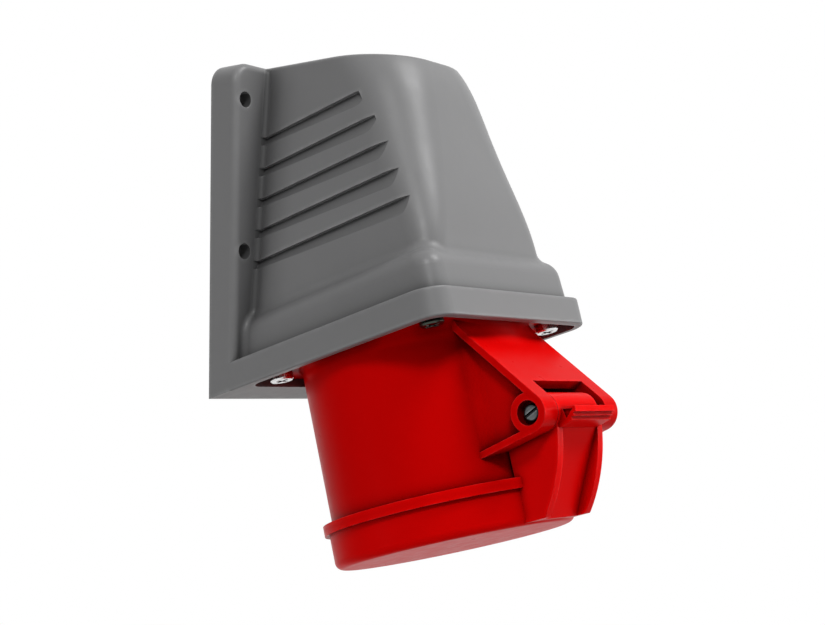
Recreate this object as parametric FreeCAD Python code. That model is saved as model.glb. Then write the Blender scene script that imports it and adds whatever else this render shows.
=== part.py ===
"""Wall-mounted industrial socket-outlet: a moulded hood, a tilted socket housing and a sprung lid.

Millimetres. The row frame has its origin on the wall, at the centre of the four wall holes.
X runs across, Y runs into the wall and Z runs up. The mouth of the hood has a frame of its own:
x across, v forward from the wall in the plane of the mouth, s outward along the barrel.
"""
import FreeCAD, Part
import math
import os

Vector = FreeCAD.Vector

# Barrel and socket flange, which set the size of the mouth
barrel_centre = 56.0
barrel_r = 39.0
barrel_wall = 2.6
barrel_end = 53.0
barrel_edge = 0.8
barrel_root_r = 5.0
barrel_root_flare = 1.2
flange_side = 2.4
flange_rear = 0.5
flange_front = 1.9
flange_corner_r = 6.0
flange_recess = 2.8
flange_thick = 3.5
flange_gap = 0.6
gasket_thick = 1.2
gasket_width = 4.0
gasket_gap = 0.4
screw_side_inset = 8.4
screw_rear_inset = 7.0
screw_front_inset = 7.9
screw_r = 2.0
screw_clearance = 0.2
screw_head_r = 4.0
screw_head_height = 2.9
screw_head_edge = 0.5
screw_cross = 5.0
screw_cross_depth = 1.3
screw_length = 16.0
screw_boss_r = 4.5

# Hood: wall plate, body and lip
wall = 3.0
rim_wall = 3.0
tilt = 15.0
hood_below = 76.0
hood_above = 39.0
wall_plate_depth = 11.5
wall_plate_corner_r = 7.5
wall_plate_edge_r = 2.6
wall_hole_inset = 5.0
wall_hole_spacing_z = 52.0
wall_hole_r = 2.75
wing_width = 11.0
body_drop = 67.0
body_taper = 5.3
body_lean = 23.0
body_front_inset = 14.6
body_front_bow = 2.0
body_top_flat = 4.7
body_corner_low = 9.0
roof_edge_r = 1.6
body_root_r = 2.0
lip_height = 9.5
lip_corner_r = 9.0
lip_edge_r = 0.7

# Skirt: the bulge above the lip
skirt_side_step = 4.6
skirt_front_step = 1.9
skirt_corner_r = 7.5
skirt_height = 24.5
skirt_draft = 0.8
skirt_edge_r = 7.0
skirt_root_r = 5.0
skirt_back = 2.0

# Slanted grooves on both sides
groove_count = 5
groove_slope = 15.7
groove_from_roof = 25.0
groove_pitch = 10.75
groove_height = 2.9
groove_widen = 1.6
groove_depth = 1.7
groove_lean = 2.6
groove_length = 41.3
groove_longer = 7.15
groove_shorter = 0.375

# Collar inside the barrel
collar_space = 3.9
collar_wall = 2.2
collar_back = 12.0
collar_rim = 3.0
key_width = 8.0
key_depth = 2.2
key_side = 2.0
key_length = 32.0

# Hinge
hinge_out = 14.0
hinge_s = 33.5
boss_r = 6.3
ear_outer = 21.8
ear_thick = 7.4
bridge_angle = 51.3
bridge_thick = 3.0
bridge_window = 8.3
bridge_blend_r = 9.0
rib_thick = 2.2
rib_root_s = 43.4
rib_root_inset = 9.0
web_depth = 3.2
ear_blend_r = 6.0
pin_r = 2.5
pin_fit = 0.05
pin_head_r = 2.9
pin_head_height = 1.8
pin_head_edge = 1.0
pin_recess_r = 3.9
pin_recess_depth = 3.4
pin_slot_width = 1.0
pin_slot_turn = -20.0
clip_thick = 0.8
clip_seat = 0.4

# Lid
lid_gap = 0.9
ring_start = 50.7
ring_height = 3.4
ring_wall = 2.3
ring_step = 1.6
lid_face = 65.6
lid_wall = 2.6
lid_top = 3.0
lid_edge_r = 2.6
seal_gap = 0.3
seal_height = 3.6
seal_width = 4.6
seal_fit = 0.1
seal_lip = 1.2
seal_wall = 1.6
seal_wall_overlap = 2.2
lid_rib_count = 16
lid_rib_thick = 1.6
arm_gap = 1.0
arm_rib = 3.0
arm_foot = 7.2
arm_head = 4.6
arm_bow = 2.6
arm_face_step = 0.6
arm_top_step = 0.5
arm_back_drop = 4.0
panel_step = 3.8
panel_head = 4.0
panel_head_drop = 5.0
panel_thick = 3.6
knuckle_gap = 0.3
knuckle_bore_fit = 0.08
tab_left_inset = 1.9
tab_right_inset = 3.5
tab_reach = 11.3
tab_rise = 0.6
tab_face = 1.9
tab_step = 1.1
tab_steps = 2
tab_pocket = 0.8

# Lid spring, between the knuckle and the right ear
spring_space = 5.0
spring_wire = 1.0
spring_turns = 3
spring_gap = 0.25
spring_bore_gap = 0.6
spring_leg_in = 2.0
spring_leg_fit = 0.1
spring_room = 0.6

# Contacts and their carrier
pitch_inset = 8.3
pin_bore_r = 3.05
earth_bore_r = 4.05
sleeve_wall = 1.45
sleeve_shoulder = 1.3
shoulder_length = 4.0
sleeve_slot = 0.8
sleeve_front = 2.5
sleeve_bore_depth = 34.0
sleeve_uncut = 6.0
sleeve_mouth = 0.5
face_hole_clearance = 0.55
face_thick = 2.2
bore_clearance = 0.7
shroud_gap = 4.7
insert_face = 48.5
insert_chamfer = 1.0
spigot_length = 3.0
spigot_inset = 1.0
spigot_fit = 0.1
block_flange = 5.0
block_gap = 0.3
block_inset = 3.4
block_back = 12.0
terminal_length = 18.0
wire_hole_r = 2.9
wire_hole_floor = 3.0
terminal_screw_r = 1.9
terminal_screw_length = 5.0
terminal_screw_in = 2.6
terminal_screw_first = 4.5
terminal_screw_pitch = 6.0
terminal_screw_slot = 0.7
spring_ring_thick = 0.45
spring_ring_height = 4.0
spring_ring_back = 8.0
spring_ring_gap = 1.4
retainer_thick = 2.2
retainer_screw_out = 2.0
retainer_screw_angle = 36.5
retainer_screw_r = 1.5
retainer_screw_head_r = 2.8
retainer_screw_head = 1.8
retainer_screw_length = 9.0
retainer_boss_r = 2.8

# Cable entry in the roof, and the knock-out in the back
entry_y = 32.0
entry_r = 12.5
entry_fit = 0.4
entry_head_r = 15.0
entry_head = 2.4
entry_head_edge = 0.8
entry_length = 12.0
entry_wall = 2.0
entry_slot_width = 2.0
entry_slot_depth = 1.2
washer_thick = 1.0
nut_flats = 30.0
nut_thick = 4.5
knockout_r = 10.0
knockout_z = -8.0
knockout_groove = 1.2
knockout_skin = 0.8

# What follows from the sizes above
tilt_rad = math.radians(tilt)
mouth_origin = Vector(0, 0, -hood_below)
mouth_turn = FreeCAD.Rotation(Vector(1, 0, 0), 180 - tilt)
across = Vector(1, 0, 0)
outward = Vector(0, 0, 1)
flange_half = barrel_r + flange_side
flange_back = barrel_centre - barrel_r - flange_rear
flange_end = barrel_centre + barrel_r + flange_front
half_width = flange_half + flange_gap + rim_wall
rear_rim = flange_back - flange_gap
mouth_depth = flange_end + flange_gap + rim_wall
plate_outer = -flange_recess
plate_inner = plate_outer - flange_thick
ledge = plate_inner - gasket_thick
wall_hole_x = half_width - wall_hole_inset
body_half_low = half_width - wing_width
body_half_top = body_half_low - body_taper
body_corner_top = body_half_top - body_top_flat
body_front_low = mouth_depth - body_front_inset
body_front_top = body_front_low - body_lean
skirt_half = half_width - skirt_side_step
skirt_front = mouth_depth - skirt_front_step
groove_top_z = hood_above - groove_from_roof
tube_r = barrel_r - barrel_wall
collar_r = tube_r - collar_space
insert_r = collar_r - shroud_gap
contact_pitch_r = insert_r - pitch_inset
block_r = tube_r - block_inset
block_front = collar_back
spigot_end = collar_back - spigot_length
retainer_back = -block_back - retainer_thick
terminal_back = retainer_back - terminal_length
sleeve_end = insert_face - sleeve_front
hinge_v = barrel_centre + barrel_r + hinge_out
ear_inner = ear_outer - ear_thick
arm_half = ear_inner - arm_gap
knuckle_start = -ear_inner + knuckle_gap
knuckle_end = ear_inner - spring_space
tab_start = -ear_inner + tab_left_inset
tab_end = ear_inner - tab_right_inset
ring_inner_r = barrel_r + lid_gap
ring_outer_r = ring_inner_r + ring_wall
ring_end = ring_start + ring_height
lid_side_r = ring_outer_r - ring_step
lid_side_in = lid_side_r - lid_wall
lid_inside = lid_face - lid_top
seal_in = lid_side_in - seal_width
seal_start = barrel_end + seal_gap
seal_end = seal_start + seal_height
spring_r = pin_r + spring_bore_gap + spring_wire / 2
spring_outer_r = spring_r + spring_wire / 2
pin_start = -ear_outer + pin_recess_depth
clip_x = ear_outer - 2 * clip_thick
roof_seat = hood_above + washer_thick


def in_mouth(shape):
    """Moves a shape modelled in the mouth frame to its place in the row frame."""
    shape = shape.copy()
    shape.Placement = FreeCAD.Placement(mouth_origin, mouth_turn).multiply(shape.Placement)
    return shape


def line(a, b):
    return Part.LineSegment(a, b).toShape()


def polygon(points):
    """A closed face through points."""
    return Part.Face(Part.makePolygon(list(points) + [points[0]]))


def rounded_outline(x0, x1, y0, y1, radii, z):
    """A rectangle in the XY plane with a radius at each corner, from (x0, y0) round to (x0, y1)."""
    turns = [(x0, y0, 1, 1), (x1, y0, -1, 1), (x1, y1, -1, -1), (x0, y1, 1, -1)]
    starts = [(0, 1), (1, 0), (0, 1), (1, 0)]
    ends = [(1, 0), (0, 1), (1, 0), (0, 1)]
    near = 1 - math.sqrt(0.5)
    marks = []
    for (x, y, sx, sy), start, end, r in zip(turns, starts, ends, radii):
        a = Vector(x + sx * r * start[0], y + sy * r * start[1], z)
        m = Vector(x + sx * r * near, y + sy * r * near, z)
        b = Vector(x + sx * r * end[0], y + sy * r * end[1], z)
        marks.append((a, m, b, r))
    edges = []
    for i, (a, m, b, r) in enumerate(marks):
        if r > 0:
            edges.append(Part.Arc(a, m, b).toShape())
        edges.append(line(b, marks[(i + 1) % 4][0]))
    return Part.Wire(edges)


def rounded_plate(x0, x1, y0, y1, radii, z0, z1):
    face = Part.Face(rounded_outline(x0, x1, y0, y1, radii, z0))
    return face.extrude(Vector(0, 0, z1 - z0))


def rod(point, direction, r, length):
    return Part.makeCylinder(r, length, point, direction)


def stud(x, v, r, s0, s1):
    """A cylinder along the barrel's direction, in the mouth frame."""
    return rod(Vector(x, v, s0), outward, r, s1 - s0)


def barrel_rod(r, s0, s1):
    """A cylinder about the barrel's axis."""
    return stud(0, barrel_centre, r, s0, s1)


def hinge_rod(r, x0, x1):
    """A cylinder about the hinge's axis."""
    return rod(Vector(x0, hinge_v, hinge_s), across, r, x1 - x0)


def turned(x, v, profile):
    """A solid turned about a line along the barrel's direction, from points (radius, s)."""
    face = polygon([Vector(x + r, v, s) for r, s in profile])
    return face.revolve(Vector(x, v, 0), outward, 360)


def side_prism(points, x0, x1):
    """Extrudes an outline of (v, s) points across x."""
    low = min(x0, x1)
    return polygon([Vector(low, v, s) for v, s in points]).extrude(Vector(abs(x1 - x0), 0, 0))


def edges_at(shape, test):
    return [e for e in shape.Edges if test(e)]


def middle_of(edge):
    return edge.valueAt((edge.FirstParameter + edge.LastParameter) / 2)


def level(edge, axis, value, slack=0.01):
    """Whether both ends and the middle of an edge lie at one coordinate."""
    points = [v.Point for v in edge.Vertexes] + [middle_of(edge)]
    return all(abs(p[axis] - value) < slack for p in points)


def meeting_edges(joined, a, b):
    """The edges of a joined solid along which two of its parts meet."""
    seam = a.section(b)
    return edges_at(joined, lambda e: seam.distToShape(Part.Vertex(middle_of(e)))[0] < 0.01)


def contact_places():
    """Name, x, v and bore radius of each contact round the pitch circle, the earth first."""
    names = ["contact_pe", "contact_l1", "contact_l2", "contact_l3", "contact_n"]
    places = []
    for i, name in enumerate(names):
        angle = math.radians(-90 - i * 360 / len(names))
        x = contact_pitch_r * math.cos(angle)
        v = barrel_centre + contact_pitch_r * math.sin(angle)
        places.append((name, x, v, earth_bore_r if i == 0 else pin_bore_r))
    return places


def wall_hole_places():
    return [(sx * wall_hole_x, sz * wall_hole_spacing_z / 2) for sx in (-1, 1) for sz in (-1, 1)]


def screw_places():
    """Centres of the four flange screws, in the mouth frame."""
    x = flange_half - screw_side_inset
    return [(side * x, v) for side in (-1, 1) for v in (flange_back + screw_rear_inset, flange_end - screw_front_inset)]


def retainer_places():
    """Centres of the four screws behind the carrier, just outside the barrel."""
    reach = barrel_r + retainer_screw_out
    x = reach * math.cos(math.radians(retainer_screw_angle))
    v = reach * math.sin(math.radians(retainer_screw_angle))
    return [(sx * x, barrel_centre + sv * v) for sx in (-1, 1) for sv in (-1, 1)]


def body_share(z):
    return (hood_above - z) / body_drop


def body_half(z):
    return body_half_top + body_taper * body_share(z)


def body_front(z):
    """How far the front of the body stands from the wall: a slope with a slight outward bow."""
    share = body_share(z)
    bow = body_front_bow * 4 * share * (1 - share)
    return body_front_top + body_lean * share + max(bow, 0)


def body_solid(inset, top, bottom):
    """The body of the hood as a loft of rounded sections, or its inside when inset is the wall."""
    sections = []
    steps = 5
    for i in range(steps + 1):
        z = top + (bottom - top) * i / steps
        x = body_half(z) - inset
        front = min(body_front(z), body_front_low) - inset
        corner = body_corner_top + (body_corner_low - body_corner_top) * min(body_share(z), 1.0)
        r = max(corner - inset, wall)
        sections.append(rounded_outline(-x, x, -front, -inset, [r, r, 0, 0], z))
    return Part.makeLoft(sections, True, False)


def skirt_solid():
    """The bulge above the lip, in the mouth frame, rounded over towards the body."""
    sections = []
    for height, step in [(0.0, 0.0), (skirt_height, skirt_draft)]:
        x = skirt_half - step
        front = skirt_front - step
        r = skirt_corner_r
        sections.append(rounded_outline(-x, x, skirt_back, front, [0, 0, r, r], -height))
    skirt = Part.makeLoft(sections, True, True)
    shoulder = edges_at(skirt, lambda e: level(e, 2, -skirt_height) and not level(e, 1, skirt_back))
    return skirt.makeFillet(skirt_edge_r, shoulder)


def wall_plate():
    """The plate against the wall, rounded at its upper corners and along its front edges."""
    r = wall_plate_corner_r
    slab = rounded_plate(-half_width, half_width, -hood_below, hood_above, [0, 0, r, r], 0, wall_plate_depth)
    slab.rotate(Vector(0, 0, 0), across, 90)
    front = edges_at(slab, lambda e: level(e, 1, -wall_plate_depth) and not level(e, 2, -hood_below))
    return slab.makeFillet(wall_plate_edge_r, front)


def lip_slab():
    """The band round the mouth."""
    r = lip_corner_r
    behind = -lip_height * 2
    slab = rounded_plate(-half_width, half_width, behind, mouth_depth, [0, 0, r, r], -lip_height, 0)
    rims = edges_at(slab, lambda e: (level(e, 2, -lip_height) or level(e, 2, 0)) and not level(e, 1, behind))
    return slab.makeFillet(lip_edge_r, rims)


def groove_cutter(index, side):
    """A wedge-shaped groove: deepest along its upper edge and running out at its lower edge."""
    run = groove_length + groove_longer * index - groove_shorter * index * index
    spare = groove_depth
    ends = []
    for reach in (0.0, run):
        y = -wall_plate_depth - reach
        z_up = groove_top_z - groove_pitch * index + reach * math.tan(math.radians(groove_slope))
        z_low = z_up - groove_height - groove_widen * reach / groove_length
        lean = groove_lean * reach / run
        outer = Vector(side * (body_half(z_up) + spare), y, z_up)
        inner = Vector(side * (body_half(z_up) - groove_depth), y, z_up)
        low = Vector(side * body_half(z_low), y - lean, z_low)
        far = Vector(side * (body_half(z_low) + spare), y - lean, z_low)
        ends.append(Part.makePolygon([outer, inner, low, far, outer]))
    return Part.makeLoft(ends, True, True)


def above_mouth(height):
    """Everything more than a height above the plane of the mouth, in the row frame."""
    far = 4 * hood_below
    return in_mouth(rounded_plate(-far, far, -far, far, [0] * 4, -far, -height))


def hood_outside():
    """Wall plate, body, skirt and lip in one solid, cut off at the wall and at the mouth."""
    body = body_solid(0, hood_above, -hood_below + wall)
    roof = edges_at(body, lambda e: level(e, 2, hood_above) and not level(e, 1, 0))
    body = body.makeFillet(roof_edge_r, roof)
    skirt = in_mouth(skirt_solid())
    outside = wall_plate().fuse([skirt, in_mouth(lip_slab())]).fuse(body)
    far = 4 * hood_below
    in_front = Part.makeBox(2 * far, far, 2 * far, Vector(-far, -far, -far))
    outside = outside.common(above_mouth(0)).common(in_front)
    outside = outside.makeFillet(skirt_root_r, meeting_edges(outside, body, skirt))
    return outside.makeFillet(body_root_r, edges_at(outside, body_root))


def body_root(edge):
    """Whether an edge is where a side of the body leaves the wall plate."""
    middle = middle_of(edge)
    return level(edge, 1, -wall_plate_depth) and abs(abs(middle.x) - body_half(middle.z)) < 0.1


def hood_inside():
    """The room inside the hood: in the body, in the skirt, and the recess for the socket flange."""
    body = body_solid(wall, hood_above - wall, -hood_below + wall).common(above_mouth(lip_height))
    x = skirt_half - skirt_draft - wall
    front = skirt_front - skirt_draft - wall
    r = skirt_corner_r - wall
    top = -skirt_height + wall
    throat = rounded_plate(-x, x, rear_rim + gasket_width, front, [1, 1, r, r], top, wall)
    throat = throat.makeFillet(skirt_edge_r - wall, edges_at(throat, lambda e: level(e, 2, top)))
    half = half_width - rim_wall
    recess = rounded_plate(-half, half, rear_rim, mouth_depth - rim_wall, [flange_corner_r] * 4, ledge, wall)
    return body.fuse([in_mouth(throat), in_mouth(recess)])


def plate_pockets():
    """Hollows in the back of the wall plate, which leave ribs and a boss round each wall hole."""
    pockets = []
    outer = half_width - rim_wall
    inner = body_half_low + rim_wall / 4
    floor = wall_plate_depth - wall
    half = wall_hole_spacing_z / 2
    clear = wall_hole_r + wall
    low = -hood_below + lip_height
    bands = [(half + clear, hood_above - wall * 1.5), (wall / 2, half - clear), (-half + clear, -wall / 2),
             (low + 2 * wall, -half - clear)]
    for side in (-1, 1):
        x = min(side * outer, side * inner)
        for z0, z1 in bands:
            pockets.append(Part.makeBox(outer - inner, floor + 1, z1 - z0, Vector(x, -floor, z0)))
    width = (2 * half_width - 4 * wall) / 3
    for i in (-1, 0, 1):
        x = i * (width + wall) - width / 2
        pockets.append(Part.makeBox(width, floor + 1, lip_height + wall, Vector(x, -floor, low - wall)))
    return pockets


def knockout():
    """A ring cut in the back wall, which leaves a thin skin round a disc that can be pushed out."""
    at = Vector(0, 1, knockout_z)
    depth = 1 + wall - knockout_skin
    return rod(at, Vector(0, -1, 0), knockout_r, depth).cut(rod(at, Vector(0, -1, 0), knockout_r - knockout_groove, depth))


def wall_box():
    """The hood: wall plate, body, skirt and lip moulded in one, open at the mouth."""
    outside = hood_outside()
    bosses = [in_mouth(stud(x, v, screw_boss_r, ledge - screw_length, ledge)) for x, v in screw_places()]
    shell = outside.cut(hood_inside()).fuse([b.common(outside) for b in bosses])
    cuts = [in_mouth(stud(x, v, screw_r, plate_outer - screw_length, ledge + 1)) for x, v in screw_places()]
    for x, z in wall_hole_places():
        cuts.append(rod(Vector(x, 1, z), Vector(0, -1, 0), wall_hole_r, wall_plate_depth + 2))
    for index in range(groove_count):
        for side in (-1, 1):
            cuts.append(groove_cutter(index, side))
    cuts.append(rod(Vector(0, -entry_y, hood_above - 2 * wall), outward, entry_r, 3 * wall))
    cuts.extend(plate_pockets())
    cuts.append(knockout())
    return shell.cut(cuts)


def flange_slab(inset, s0, s1):
    """The socket flange's outline, set back by inset all round."""
    half = flange_half - inset
    r = max(flange_corner_r - inset, 1.0)
    return rounded_plate(-half, half, flange_back + inset, flange_end - inset, [r] * 4, s0, s1)


def box_gasket():
    outer = flange_slab(gasket_gap, ledge, plate_inner)
    inner = flange_slab(gasket_width + gasket_gap, ledge - 1, plate_inner + 1)
    pads = [stud(x, v, screw_boss_r, ledge, plate_inner) for x, v in screw_places()]
    holes = [stud(x, v, screw_r + screw_clearance, ledge - 1, plate_inner + 1) for x, v in screw_places()]
    return in_mouth(outer.cut(inner).fuse(pads).cut(holes))


def tangent_point(v, s, side):
    """Where a line from (v, s) touches the hinge boss, on the chosen side."""
    dv, ds = v - hinge_v, s - hinge_s
    angle = math.atan2(ds, dv) + side * math.acos(boss_r / math.hypot(dv, ds))
    return hinge_v + boss_r * math.cos(angle), hinge_s + boss_r * math.sin(angle)


def bridge_line():
    """The bridge's top face: where it meets the flange, where it touches the boss, and its inward normal."""
    a = math.radians(bridge_angle)
    touch = (hinge_v + boss_r * math.sin(a), hinge_s - boss_r * math.cos(a))
    root = (touch[0] - (touch[1] - plate_outer) / math.tan(a), plate_outer)
    return root, touch, (-math.sin(a), math.cos(a))


def bridge_top(v, depth=0):
    """The level of the bridge's top face above v, or of a parallel face that is deeper in."""
    root, touch, normal = bridge_line()
    a = math.radians(bridge_angle)
    return root[1] + (v - root[0]) * math.tan(a) + depth / math.cos(a)


def rib_line():
    """The lower side of the ribs: where it leaves the boss, and a point within the barrel."""
    root = (barrel_centre + barrel_r - rib_root_inset, rib_root_s)
    return tangent_point(root[0], root[1], -1), root


def ears():
    """Bridge and ears as one wedge on the barrel: its sloping top, the boss and the lower ribs' line."""
    root, touch, normal = bridge_line()
    low, inside = rib_line()
    start = math.atan2(touch[1] - hinge_s, touch[0] - hinge_v)
    end = math.atan2(low[1] - hinge_s, low[0] - hinge_v)
    mid = (start + end) / 2
    middle = (hinge_v + boss_r * math.cos(mid), hinge_s + boss_r * math.sin(mid))
    within = barrel_centre

    def at(p):
        return Vector(-ear_outer, p[0], p[1])

    edges = [line(at((within, bridge_top(within))), at(touch)),
             Part.Arc(at(touch), at(middle), at(low)).toShape(),
             line(at(low), at(inside)),
             line(at(inside), at((within, rib_root_s))),
             line(at((within, rib_root_s)), at((within, bridge_top(within))))]
    return Part.Face(Part.Wire(edges)).extrude(Vector(2 * ear_outer, 0, 0))


def root_blend(side, x):
    """A hollow fillet along the barrel, between it and a recess's floor at x."""
    reach = barrel_r + ear_blend_r
    centre = (x + ear_blend_r, math.sqrt(reach ** 2 - (x + ear_blend_r) ** 2))
    on_ear = (x, centre[1])
    on_barrel = (centre[0] * barrel_r / reach, centre[1] * barrel_r / reach)
    turn = (math.pi + math.atan2(centre[1], centre[0]) + math.pi) / 2
    middle = (centre[0] + ear_blend_r * math.cos(turn), centre[1] + ear_blend_r * math.sin(turn))

    def at(p):
        return Vector(side * p[0], barrel_centre + p[1], plate_inner)

    within = [(x - 1, on_barrel[1] - 1), (x - 1, on_ear[1])]
    edges = [Part.Arc(at(on_ear), at(middle), at(on_barrel)).toShape(), line(at(on_barrel), at(within[0])),
             line(at(within[0]), at(within[1])), line(at(within[1]), at(on_ear))]
    return Part.Face(Part.Wire(edges)).extrude(Vector(0, 0, barrel_end - plate_inner))


def lobe_edge(edge):
    """Whether an edge is where the bridge's sloping top meets the barrel."""
    middle = middle_of(edge)
    on_barrel = abs(math.hypot(middle.x, middle.y - barrel_centre) - barrel_r) < 0.01
    on_bridge = abs(bridge_top(middle.y) - middle.z) < 0.01
    return on_barrel and on_bridge and edge.Length > ear_outer


def ear_gap():
    """The room between the ears, under the bridge and round the lid's knuckle."""
    root, touch, normal = bridge_line()
    a = math.radians(bridge_angle)
    tip = (touch[0] - bridge_window * math.cos(a), touch[1] - bridge_window * math.sin(a))
    far = hinge_v + 3 * boss_r
    under = (tip[0] + bridge_thick * normal[0], tip[1] + bridge_thick * normal[1])
    over = (tip[0] - 4 * bridge_thick * normal[0], tip[1] - 4 * bridge_thick * normal[1])
    points = [(barrel_centre, bridge_top(barrel_centre, bridge_thick)), under, over, (far, over[1]),
              (far, barrel_end), (barrel_centre, barrel_end)]
    return side_prism(points, -ear_inner, ear_inner)


def ear_pocket(side):
    """The triangular recess in an ear's outer side, between the bridge, the lower rib and the boss."""
    root, touch, normal = bridge_line()
    low, inside = rib_line()
    points = [(inside[0], bridge_top(inside[0], rib_thick)),
              (touch[0] + rib_thick * normal[0], touch[1] + rib_thick * normal[1]),
              (low[0], low[1] - rib_thick), (inside[0], inside[1] - rib_thick)]
    web = ear_outer - web_depth
    slab = side_prism(points, side * web, side * 2 * ear_outer)
    return slab.cut([hinge_rod(boss_r, -2 * ear_outer, 2 * ear_outer), root_blend(side, web)])


def barrel_outside():
    """The barrel as a turned solid, with a hollow curve at its root and a chamfered end."""
    def at(r, s):
        return Vector(r, barrel_centre, s)

    drop = math.sqrt(barrel_root_r ** 2 - (barrel_root_r - barrel_root_flare) ** 2)
    half = math.acos((barrel_root_r - barrel_root_flare) / barrel_root_r) / 2
    curve_end = plate_outer + drop
    middle = at(barrel_r + barrel_root_r * (1 - math.cos(half)), curve_end - barrel_root_r * math.sin(half))
    flare = at(barrel_r + barrel_root_flare, plate_outer)
    marks = [at(barrel_r, curve_end), at(barrel_r, barrel_end - barrel_edge), at(barrel_r - barrel_edge, barrel_end),
             at(0, barrel_end), at(0, plate_inner), at(barrel_r + barrel_root_flare, plate_inner), flare]
    edges = [line(a, b) for a, b in zip(marks, marks[1:])]
    edges.append(Part.Arc(flare, middle, marks[0]).toShape())
    return Part.Face(Part.Wire(edges)).revolve(Vector(0, barrel_centre, 0), outward, 360)


def hinge_bridge():
    """Bridge and ears, blended into the barrel and hollowed, with the barrel's core left for the bore."""
    core = barrel_rod(barrel_r, bridge_top(barrel_centre), barrel_end - 2 * barrel_edge)
    bridge = core.fuse(ears()).removeSplitter()
    bridge = bridge.makeFillet(bridge_blend_r, edges_at(bridge, lobe_edge))
    keep = rounded_plate(-half_width, half_width, flange_back, 2 * mouth_depth, [0] * 4, plate_inner, barrel_end)
    bridge = bridge.common(keep)
    inner_core = barrel_rod(barrel_r, plate_inner - 1, barrel_end + 1)
    hollows = [ear_gap().cut(inner_core)] + [ear_pocket(side).cut(inner_core) for side in (-1, 1)]
    return bridge.cut(hollows)


def socket_housing():
    """Flange plate, double-walled barrel, collar and hinge bridge moulded in one."""
    outer = barrel_outside().common(flange_slab(0, plate_inner, barrel_end))
    housing = flange_slab(0, plate_inner, plate_outer).fuse([outer, hinge_bridge()])
    rim_start = barrel_end - collar_rim
    housing = housing.cut(barrel_rod(tube_r, plate_inner - 1, rim_start))
    collar = barrel_rod(collar_r + collar_wall, collar_back, rim_start + collar_rim / 2)
    pad_half = key_width / 2 + key_side
    pad = rounded_plate(-pad_half, pad_half, barrel_centre - tube_r - barrel_wall / 4, barrel_centre - collar_r, [0] * 4,
                        collar_back, rim_start + collar_rim / 2)
    key = rounded_plate(-key_width / 2, key_width / 2, barrel_centre - collar_r - key_depth, barrel_centre,
                        [0] * 4, barrel_end - key_length, barrel_end + 1)
    housing = housing.fuse([collar, pad]).cut([barrel_rod(collar_r, collar_back - 1, barrel_end + 1), key])
    bosses = []
    holes = [hinge_rod(pin_r + pin_fit, -2 * ear_outer, 2 * ear_outer),
             hinge_rod(pin_recess_r, -2 * ear_outer, pin_start),
             hinge_rod(pin_recess_r, clip_x, 2 * ear_outer),
             rod(spring_leg_start(), across, spring_wire / 2 + spring_leg_fit, spring_leg_length() + spring_leg_fit)]
    for x, v in retainer_places():
        bosses.append(stud(x, v, retainer_boss_r, -block_back, plate_inner + flange_thick / 2))
        holes.append(stud(x, v, retainer_screw_r, -block_back - 1, -block_back + retainer_screw_length - retainer_thick))
    for x, v in screw_places():
        holes.append(stud(x, v, screw_r + screw_clearance, plate_inner - 1, plate_outer + 1))
    return in_mouth(housing.fuse(bosses).cut(holes))


def cross_recess(x, v, top):
    """Two crossed slots sunk into a screw head."""
    arm = screw_cross / 2
    half = screw_cross / 8
    a = rounded_plate(x - arm, x + arm, v - half, v + half, [0] * 4, top - screw_cross_depth, top + 1)
    b = rounded_plate(x - half, x + half, v - arm, v + arm, [0] * 4, top - screw_cross_depth, top + 1)
    return a.fuse(b)


def flange_screws():
    solids = []
    top = plate_outer + screw_head_height
    for x, v in screw_places():
        edge = screw_head_edge
        profile = [(0, plate_outer - screw_length), (screw_r, plate_outer - screw_length), (screw_r, plate_outer),
                   (screw_head_r, plate_outer), (screw_head_r, top - edge), (screw_head_r - edge, top), (0, top)]
        solids.append(in_mouth(turned(x, v, profile).cut(cross_recess(x, v, top))))
    return Part.makeCompound(solids)


def lid_shell():
    """The turned part of the lid: ring, side wall, face, and the channel for the seal."""
    e = lid_edge_r
    near = 1 - math.sqrt(0.5)
    wall_in = seal_in - seal_wall
    wall_end = seal_end - seal_wall_overlap
    step = ring_end - ring_step / 2
    marks = [(0, lid_inside), (wall_in, lid_inside), (wall_in, wall_end), (seal_in, wall_end), (seal_in, lid_inside),
             (lid_side_in, lid_inside), (lid_side_in, step), (ring_inner_r, step), (ring_inner_r, ring_start),
             (ring_outer_r, ring_start), (ring_outer_r, ring_end), (lid_side_r, ring_end), (lid_side_r, lid_face - e),
             (lid_side_r - e, lid_face), (0, lid_face)]
    points = [Vector(r, barrel_centre, s) for r, s in marks]
    corner = Vector(lid_side_r - e * near, barrel_centre, lid_face - e * near)
    edges = [line(a, b) for a, b in zip(points, points[1:] + points[:1])]
    edges[-3] = Part.Arc(points[-3], corner, points[-2]).toShape()
    return Part.Face(Part.Wire(edges)).revolve(Vector(0, barrel_centre, 0), outward, 360)


def lid_ribs():
    """Short radial ribs in the seal's channel, which the seal rests on."""
    ribs = []
    spare = seal_wall / 2
    for i in range(lid_rib_count):
        rib = Part.makeBox(seal_width + 2 * spare, lid_rib_thick, lid_inside - seal_end + spare,
                           Vector(seal_in - spare, barrel_centre - lid_rib_thick / 2, seal_end))
        rib.rotate(Vector(0, barrel_centre, 0), outward, i * 360 / lid_rib_count)
        ribs.append(rib)
    return ribs


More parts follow.
